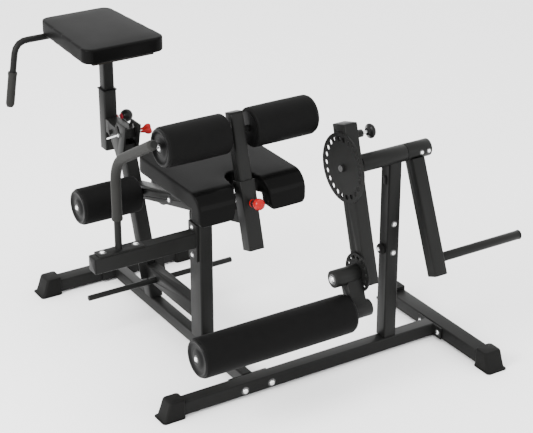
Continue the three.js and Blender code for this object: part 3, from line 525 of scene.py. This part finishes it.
seat_low, seat_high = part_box("seat_cushion")
seat_x = (seat_low[0] + seat_high[0]) / 2
SEAT_CORNER = 0.052
FRONT_CORNER = 0.018
NOTCH_RADIUS = 0.048
NOTCH_DEPTH = 0.087
NOTCH_ROUND = 0.012
NOTCH_MOUTH = 0.069
SEAT_THICK = 0.062
SEAT_ROLL = 0.062
BEND_MIDDLE = 0.038
seat_half = seat_high[0] - seat_x - PAD_INSET
seat_rear = seat_high[1] - PAD_INSET
bend_y = seat_low[1] + SEAT_ROLL
bend_z = seat_high[2] - SEAT_THICK
bend_length = BEND_MIDDLE * math.pi / 2
flat_front = bend_y - bend_length - (bend_z - seat_low[2] - PAD_INSET)
notch_y = seat_low[1] + NOTCH_DEPTH
c = SEAT_CORNER
f = FRONT_CORNER
seat_outline = np.vstack([
    arc_points(seat_x + seat_half - c, seat_rear - c, c, 0, 90, 8),
    arc_points(seat_x - seat_half + c, seat_rear - c, c, 90, 180, 8),
    arc_points(seat_x - seat_half + f, flat_front + f, f, 180, 270, 6),
    arc_points(seat_x - NOTCH_MOUTH - NOTCH_ROUND, flat_front + NOTCH_ROUND, NOTCH_ROUND, 270, 360, 5),
    arc_points(seat_x, notch_y, NOTCH_RADIUS, 180, 0, 13),
    arc_points(seat_x + NOTCH_MOUTH + NOTCH_ROUND, flat_front + NOTCH_ROUND, NOTCH_ROUND, 180, 270, 5),
    arc_points(seat_x + seat_half - f, flat_front + f, f, 270, 360, 6),
])


def rolled_front(points):
    """Bends the flat slab over its front edge. Past the bend line the way along the slab becomes
    an angle up to a right angle round the bend's axis, then a drop straight down, and the height
    in the slab becomes the distance from that axis."""
    past = np.clip(bend_y - points[:, 1], 0, None)
    angle = np.clip(past / bend_length, 0, 1) * np.pi / 2
    drop = np.clip(past - bend_length, 0, None)
    reach = np.clip(points[:, 2] - bend_z, 0.001, None)
    bent = past > 0
    points[:, 1] = np.where(bent, bend_y - reach * np.sin(angle), points[:, 1])
    points[:, 2] = np.where(bent, bend_z + reach * np.cos(angle) - drop, points[:, 2])
    return points


stuffed("seat_cover", seat_outline, bend_z + COVER_GAP, seat_high[2] - PAD_INSET, rolled_front,
        SWELL_LIMIT, "seat_cushion", "frame")


# ---------------------------------------------------------------- knobs on pins
# Moulded knobs: a red and a black ball on collared plungers, a mushroom knob on the arm pin, and
# a red star knob on the tilt lock's screw.
red_plastic = surface("red_plastic", (0.20, 0.0012, 0.0016), (0.25, 0.002, 0.0024), 0.22, 20.0,
                      grain=300.0, depth=0.01, spread=0.04, gloss=0.15)
dark_red = surface("dark_red_plastic", (0.20, 0.012, 0.022), (0.26, 0.018, 0.030), 0.3, 20.0,
                   grain=300.0, depth=0.01)
black_gloss = surface("black_gloss", (0.006, 0.006, 0.006), (0.010, 0.010, 0.010), 0.16, 20.0,
                      grain=300.0, depth=0.01, spread=0.04)
BALL_RADIUS = 0.019
PAD_BALL_RADIUS = 0.0235
KNOB_NECK = 0.008


def ball_profile(radius, neck):
    """Ball on a neck: it starts open at the neck, where a collar hides it, and ends at the pole."""
    start = math.asin(neck * 1.15 / radius)
    polar = np.linspace(math.pi - start, 0, 22)
    sphere = np.column_stack([radius * np.sin(polar), radius * np.cos(polar)])
    sphere[-1, 0] = 0.0
    return np.vstack([[(neck * 0.9, -radius * 1.02)], sphere])


joints = {joint["name"]: joint for joint in frame["joints"]}
low, high = (np.array(corner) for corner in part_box("thigh_pin"))
out = np.array(joints["thigh_pin_pull"]["axis"], float)
ball = np.array([(low[0] + high[0]) / 2, low[1] + BALL_RADIUS, high[2] - BALL_RADIUS])
thigh_ball = ball_profile(BALL_RADIUS, KNOB_NECK)
grid_mesh("thigh_knob", turned(thigh_ball, ball, out), "thigh_pin", red_plastic, "thigh_pin")
collar = [(0.0, -0.0248), (0.0085, -0.0248), (0.0105, -0.0235), (0.0105, -0.0195), (0.009, -0.0165),
          (0.0, -0.0165)]
grid_mesh("thigh_knob_collar", turned(collar, ball, out), "thigh_pin", black_gloss)
band = [(0.0, -0.040), (0.0120, -0.040), (0.0125, -0.039), (0.0125, -0.0345), (0.0118, -0.0336),
        (0.0, -0.0336)]
grid_mesh("thigh_boss_band", turned(band, ball, out), "frame", red_plastic)
plunger = [(0.0, -0.057), (0.005, -0.057), (0.005, -0.030), (0.0, -0.030)]
grid_mesh("thigh_plunger", turned(plunger, ball, out, 24), "thigh_pin", zinc)

low, high = (np.array(corner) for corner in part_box("pad_pin"))
ball = np.array([high[0] - BALL_RADIUS, (low[1] + high[1]) / 2, (low[2] + high[2]) / 2])
pad_ball = ball_profile(PAD_BALL_RADIUS, KNOB_NECK)
grid_mesh("pad_knob", turned(pad_ball, ball, (1, 0, 0)), "pad_pin", black_gloss, "pad_pin")
flare = [(0.0, -0.0268), (0.0085, -0.0268), (0.0095, -0.0245), (0.0150, -0.017), (0.0, -0.012)]
grid_mesh("pad_knob_collar", turned(flare, ball, (1, 0, 0)), "pad_pin", dark_red)
boss_band = [(0.0, -0.0475), (0.0112, -0.0475), (0.0118, -0.0465), (0.0118, -0.0362), (0.0112, -0.0354),
             (0.0, -0.0354)]
grid_mesh("pad_boss_band", turned(boss_band, ball, (1, 0, 0)), "pad_carrier", dark_red)
plunger = [(0.0, -0.052), (0.005, -0.052), (0.005, -0.020), (0.0, -0.020)]
grid_mesh("pad_plunger", turned(plunger, ball, (1, 0, 0), 24), "pad_pin", zinc)

low, high = (np.array(corner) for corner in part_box("arm_pin"))
centre = np.array([high[0], (low[1] + high[1]) / 2, (low[2] + high[2]) / 2])
mushroom = [(0.0, -0.029), (0.012, -0.029), (0.0135, -0.026), (0.0155, -0.023), (0.0235, -0.0205),
            (0.025, -0.0175), (0.0245, -0.0125), (0.021, -0.007), (0.014, -0.0025), (0.006, -0.0004),
            (0.0, 0.0)]
grid_mesh("arm_knob", turned(mushroom, centre, (1, 0, 0)), "arm_pin", black_gloss, "arm_pin",
          smooth=math.radians(60))
plunger = [(0.0, low[0] - high[0]), (0.0054, low[0] - high[0]), (0.0054, -0.028), (0.0, -0.028)]
grid_mesh("arm_plunger", turned(plunger, centre, (1, 0, 0), 24), "arm_pin", zinc)

low, high = (np.array(corner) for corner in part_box("tilt_knob"))
hub = np.array(joints["tilt_knob_turn"]["pos_m"], float)
STAR_STEPS = 96
turn = np.linspace(0, 2 * np.pi, STAR_STEPS, endpoint=False)
STAR_RADIUS = 0.0165
STAR_LOBE = 0.0045
star_reach = STAR_RADIUS + STAR_LOBE * np.cos(3 * (turn - np.pi / 2))
star_profile = [(0.0, -0.040), (0.42, -0.040), (0.46, -0.037), (0.62, -0.026), (0.88, -0.020),
                (0.98, -0.015), (1.0, -0.010), (0.97, -0.005), (0.86, -0.001), (0.7, 0.0), (0.0, 0.0)]
star = np.array([
    np.column_stack([
        np.full(STAR_STEPS, high[0] + depth),
        hub[1] + share * star_reach * np.cos(turn),
        hub[2] + share * star_reach * np.sin(turn),
    ]) for share, depth in star_profile
])
grid_mesh("tilt_star", star, "tilt_knob", red_plastic, "tilt_knob", smooth=math.radians(60))
end = np.array([high[0] - 0.02, hub[1], hub[2]])
screw = [(0.0, low[0] - end[0]), (0.006, low[0] - end[0]), (0.006, 0.0), (0.0, 0.0)]
grid_mesh("tilt_screw", turned(screw, end, (1, 0, 0), 24), "tilt_knob", zinc)


# ---------------------------------------------------------------- grip sleeves
# Grey moulded grips pulled over the handle tubes: a constant wall, a rounded closed end and a
# slightly thicker collar where the hand stops.
grip_rubber = surface("grip_rubber", (0.013, 0.013, 0.0123), (0.019, 0.019, 0.0179), 0.55, 24.0,
                      grain=420.0, depth=0.1, spread=0.06, gloss=0.05)


def swept(path, radii, steps=40):
    """Tube along a path: at each point a circle of the given radius stands square to the local
    direction, with its first spoke held close to the previous one."""
    along = np.gradient(path, axis=0)
    along /= np.linalg.norm(along, axis=1, keepdims=True)
    turn = np.linspace(0, 2 * np.pi, steps, endpoint=False)
    side = np.cross(along[0], (0.3, 0.9, 0.2))
    rings = []
    for point, direction, radius in zip(path, along, radii):
        side = side - direction * np.dot(side, direction)
        side /= np.linalg.norm(side)
        other = np.cross(direction, side)
        rings.append(point + radius * (np.cos(turn)[:, None] * side + np.sin(turn)[:, None] * other))
    return np.array(rings)


def grip_radii(distance, radius):
    """Radius along a grip: shut at both ends, a short collar at the start, a rounded tip."""
    total = distance[-1]
    tip = np.sqrt(np.clip(1 - (1 - np.clip((total - distance) / radius, 0, 1)) ** 2, 0, 1))
    collar = 1 + 0.10 * np.exp(-((distance - 0.006) / 0.006) ** 2)
    radii = radius * tip * collar
    radii[0] = 0.0
    return radii


def path_lengths(path):
    return np.concatenate([[0.0], np.cumsum(np.linalg.norm(np.diff(path, axis=0), axis=1))])


def resampled(path, spacing):
    """The same path with points at even spacing, closer together over its last centimetres."""
    distance = path_lengths(path)
    even = np.arange(0, distance[-1] - 0.03, spacing)
    close = distance[-1] - 0.03 * (1 - np.sin(np.linspace(0, np.pi / 2, 14)))
    start = np.array([0.0, 0.0002])
    where = np.unique(np.concatenate([start, even, close]))
    return np.column_stack([np.interp(where, distance, path[:, k]) for k in range(3)]), where


low, high = (np.array(corner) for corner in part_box("grip_handle_sleeve"))
GRIP_RADIUS = 0.017
GRIP_SLOPE = math.radians(30)
BEND_RADIUS = 0.120
grip_x = (low[0] + high[0]) / 2
rear_y = high[1] - GRIP_RADIUS
tip_y = low[1] + GRIP_RADIUS * math.sin(GRIP_SLOPE)
tip_z = high[2] - GRIP_RADIUS * math.cos(GRIP_SLOPE)
turn = np.linspace(0, math.pi / 2 - GRIP_SLOPE, 16)
bend_y = rear_y - BEND_RADIUS * (1 - np.cos(turn))
bend_rise = BEND_RADIUS * np.sin(turn)
straight_rise = (bend_y[-1] - tip_y) * math.tan(GRIP_SLOPE)
bend_low = tip_z - straight_rise - bend_rise[-1]
handle_path = np.vstack([
    [(grip_x, rear_y, low[2])],
    np.column_stack([np.full(16, grip_x), bend_y, bend_low + bend_rise]),
    [(grip_x, tip_y, tip_z)],
])
fine_path, distance = resampled(handle_path, 0.006)
grid_mesh("grip_handle_grip", swept(fine_path, grip_radii(distance, GRIP_RADIUS)), "frame", grip_rubber,
          "grip_handle_sleeve", smooth=math.radians(60))

low, high = (np.array(corner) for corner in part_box("pad_handle_sleeve"))
GRIP2_RADIUS = 0.016
top = np.array([high[0] - GRIP2_RADIUS, (low[1] + high[1]) / 2, high[2]])
foot = np.array([low[0] + GRIP2_RADIUS, (low[1] + high[1]) / 2, low[2]])
fine_path, distance = resampled(np.array([top, foot]), 0.006)
grid_mesh("pad_handle_grip", swept(fine_path, grip_radii(distance, GRIP2_RADIUS)), "pad_post", grip_rubber,
          "pad_handle_sleeve", smooth=math.radians(60))


# ---------------------------------------------------------------- stop bumper
# Domed rubber buffer with a bright screw, on the upright's inner side.
low, high = (np.array(corner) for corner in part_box("stop_bumper"))
seat = np.array([high[0], (low[1] + high[1]) / 2, (low[2] + high[2]) / 2])
thick = high[0] - low[0]
buffer = [(0.0, 0.0), (0.019, 0.0), (0.0188, thick * 0.5), (0.016, thick * 0.85), (0.012, thick),
          (0.0, thick)]
grid_mesh("bumper", turned(buffer, seat, (-1, 0, 0)), "frame", rubber, "stop_bumper")
bolt("bumper_screw", seat + np.array([-thick, 0, 0]), (-1, 0, 0), "frame", 0.006)


# ---------------------------------------------------------------- bolts
# Round-headed zinc bolts on dark washers wherever a plate or flange is fastened. Each place is
# worked out from the piece it goes through.
def middle_of(node):
    low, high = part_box(node)
    return (np.array(low) + np.array(high)) / 2, np.array(low), np.array(high)


TUBE_HALF = 0.025
LARGE_BOLT = 0.0095
FRAME_BOLT = 0.008
SMALL_BOLT = 0.0075
FOOT_OVERHANG = 0.0115
RAIL_BOLT_SHIFT = 0.011
RAIL_BOLT_SPREAD = 0.051
RAIL_BOLT_DROP = 0.004
CORNER_BOLT_INSET = 0.0057
CORNER_BOLT_SPREAD = 0.050
FLANGE_INSET = 0.0067
CROSSBEAM_TOP = 0.105
PLATE_THICK = 0.006
NUT_DROP = 0.0615
UPRIGHT_BOLTS = {"low": 0.375, "high": 0.481}
BEAM_BOLTS = {"front": (0.170, 0.506), "rear": (0.485, 0.425)}

mid, _, high = middle_of("front_floor_bar")
post_x = middle_of("front_post")[0][0]
bar_front = middle_of("front_foot")[1][1] + FOOT_OVERHANG
for side in (-1, 1):
    rail_place = (post_x + RAIL_BOLT_SHIFT + side * RAIL_BOLT_SPREAD, bar_front, mid[2] - RAIL_BOLT_DROP)
    bolt(f"rail_bolt_{'left' if side < 0 else 'right'}", rail_place, (0, -1, 0), "frame", LARGE_BOLT)
    corner_y = (bar_front + TUBE_HALF) + side * CORNER_BOLT_SPREAD
    corner_place = (high[0] - CORNER_BOLT_INSET, corner_y, mid[2])
    bolt(f"corner_bolt_{'front' if side < 0 else 'rear'}", corner_place, (-1, 0, 0), "frame", FRAME_BOLT)

cross_mid, cross_low, cross_high = middle_of("crossbeam")
for spot, z in (("low", cross_low[2] + 0.018), ("high", cross_high[2] - 0.016)):
    place = (cross_high[0] - FLANGE_INSET, cross_mid[1], z)
    bolt(f"crossbeam_bolt_{spot}", place, (-1, 0, 0), "frame", SMALL_BOLT)

_, low, high = middle_of("grip_handle")
plate_top = cross_low[2] + CROSSBEAM_TOP + PLATE_THICK
for spot, x in (("outer", low[0] + 0.020), ("inner", high[0] - 0.022)):
    bolt(f"handle_bolt_{spot}", (x, cross_mid[1], plate_top), (0, 0, 1), "frame", CAP_BOLT)
    bolt(f"handle_nut_{spot}", (x, cross_mid[1], plate_top - NUT_DROP), (0, 0, -1), "frame", SMALL_BOLT)

mid, low, _ = middle_of("upright")
for spot, z in UPRIGHT_BOLTS.items():
    bolt(f"upright_bolt_{spot}", (mid[0], low[1], z), (0, -1, 0), "frame", SMALL_BOLT)

beam_low = middle_of("seat_beam")[1]
post_y = middle_of("front_post")[0][1]
for spot, (behind_post, z) in BEAM_BOLTS.items():
    bolt(f"beam_bolt_{spot}", (beam_low[0], post_y + behind_post, z), (-1, 0, 0), "frame", SMALL_BOLT)

_, low, _ = middle_of("weight_lever")
shaft = np.array(joints["shaft_swing"]["pos_m"], float)
for spot, x in (("inner", low[0] + 0.052), ("outer", low[0] + 0.080)):
    bolt(f"lever_bolt_{spot}", (x, shaft[1] - 0.0293, shaft[2]), (0, -1, 0), "shaft", 0.006)
boss = [(0.0, -0.001), (0.0105, -0.001), (0.0105, 0.002), (0.008, 0.0038), (0.0, 0.004)]
shaft_end = (middle_of("main_shaft")[1][0], shaft[1], shaft[2])
grid_mesh("disc_boss", turned(boss, shaft_end, (-1, 0, 0), 32), "shaft", dark_steel)
pivot_mid = middle_of("pivot_bolt")[0]
hub_low = middle_of("roller_hub")[1]
bolt("pivot_bolt_head", (hub_low[0], pivot_mid[1], pivot_mid[2]), (-1, 0, 0), "arm", 0.0125)


# ---------------------------------------------------------------- tube end plugs and trim
# Moulded black plugs close the open tube ends, and a thin collar lines the hip pad's sleeve. The
# plug's profile is (share of its thickness, inset), and no inset means that the ring is a point.
PLUG_PROFILE = [(-1.0, None), (-1.0, 0.004), (0.02, 0.004), (0.02, 0.0006), (0.6, 0.0006),
                (1.0, 0.002), (1.0, None)]
PLUG_CORNER = 0.005
CONTACT_GAP = 0.0003
ARM_HALF = 0.038
ARM_LEAN = math.radians(15.9)
LEVER_LEAN = math.radians(22.5)


def plug(name, centre, half_x, half_y, direction, body, thick=0.003):
    """Rounded rectangular plug: rings of a rounded rectangle square to the direction, with a
    bevelled outer rim, closed at both faces."""
    direction = np.array(direction, float) / np.linalg.norm(direction)
    side = np.array((1.0, 0.0, 0.0)) if abs(direction[0]) < 0.5 else np.array((0.0, 1.0, 0.0))
    other = np.cross(direction, side)
    rings = []
    for share, inset in PLUG_PROFILE:
        if inset is None:
            outline = np.zeros((OUTLINE_STEPS, 2))
        else:
            outline = rounded_rectangle(half_x - inset, half_y - inset, PLUG_CORNER)
        flat = np.array(centre) + outline[:, :1] * side + outline[:, 1:] * other
        rings.append(flat + share * thick * direction)
    grid_mesh(name, np.array(rings), body, cap_plastic)


def leaned(lean):
    """Unit vector that points down and leans towards the front by an angle."""
    return np.array([0.0, -math.sin(lean), -math.cos(lean)])


plug("crossbeam_plug", (cross_low[0], cross_mid[1], cross_high[2] - 0.0575), TUBE_HALF, 0.0275,
     (-1, 0, 0), "frame")
down = leaned(ARM_LEAN)
arm_x = middle_of("index_disc")[2][0] + CONTACT_GAP + TUBE_HALF
arm_pivot = np.array([arm_x, shaft[1], shaft[2]])
plug("arm_plug_low", arm_pivot + down * 0.390, TUBE_HALF, ARM_HALF, down, "arm")
plug("arm_plug_high", arm_pivot - down * 0.139, TUBE_HALF, ARM_HALF, -down, "arm")
down = leaned(LEVER_LEAN)
lever_x = middle_of("weight_horn")[1][0] - CONTACT_GAP - TUBE_HALF
plug("lever_plug", np.array([lever_x, shaft[1], shaft[2]]) + down * 0.422, TUBE_HALF, TUBE_HALF, down,
     "shaft")
mid, _, high = middle_of("weight_horn")
horn_tip = [(0.0, -0.02), (0.0155, -0.02), (0.0155, 0.0), (0.0168, 0.0002), (0.0168, 0.003),
            (0.015, 0.005), (0.0, 0.005)]
grid_mesh("horn_plug", turned(horn_tip, (high[0] - 0.002, mid[1], mid[2]), (1, 0, 0)), "shaft",
          cap_plastic)
dress("thigh_post_cap", cap_plastic, SMALL_EDGE)
mid, low, _ = middle_of("upright")
plug("upright_plug", (low[0], mid[1], 0.639), 0.009, 0.017, (-1, 0, 0), "frame", 0.002)
mid, _, high = middle_of("pad_sleeve")
post_mid = middle_of("pad_post")[0]
plug("sleeve_trim", (post_mid[0], mid[1], high[2]), 0.0285, 0.0285, (0, 0, 1), "pad_carrier", 0.003)


# ---------------------------------------------------------------- lock rod
# Bent rod of bright steel that lies across the left tilt plate, with both ends turned in.
ROD_RADIUS = 0.0032
_, low, high = middle_of("tilt_plate_left")
rod_x = low[0] - ROD_RADIUS - 0.001
rod_rear = np.array([rod_x, high[1] - 0.012, high[2] - 0.090])
rod_front = np.array([rod_x, high[1] - 0.088, high[2] - 0.052])
turned_in = np.array([0.007, 0.0, 0.0])
corner = (rod_front - rod_rear) * 0.06
rod_path = np.array([rod_rear + turned_in, rod_rear + turned_in * 0.3, rod_rear + corner,
                     rod_front - corner, rod_front + turned_in * 0.3, rod_front + turned_in])
rod_fine, distance = resampled(rod_path, 0.004)
rod_radii = np.full(len(distance), ROD_RADIUS)
rod_radii[[0, -1]] = 0.0
grid_mesh("lock_rod", swept(rod_fine, rod_radii), "frame", bolt_steel,
          smooth=math.radians(60))
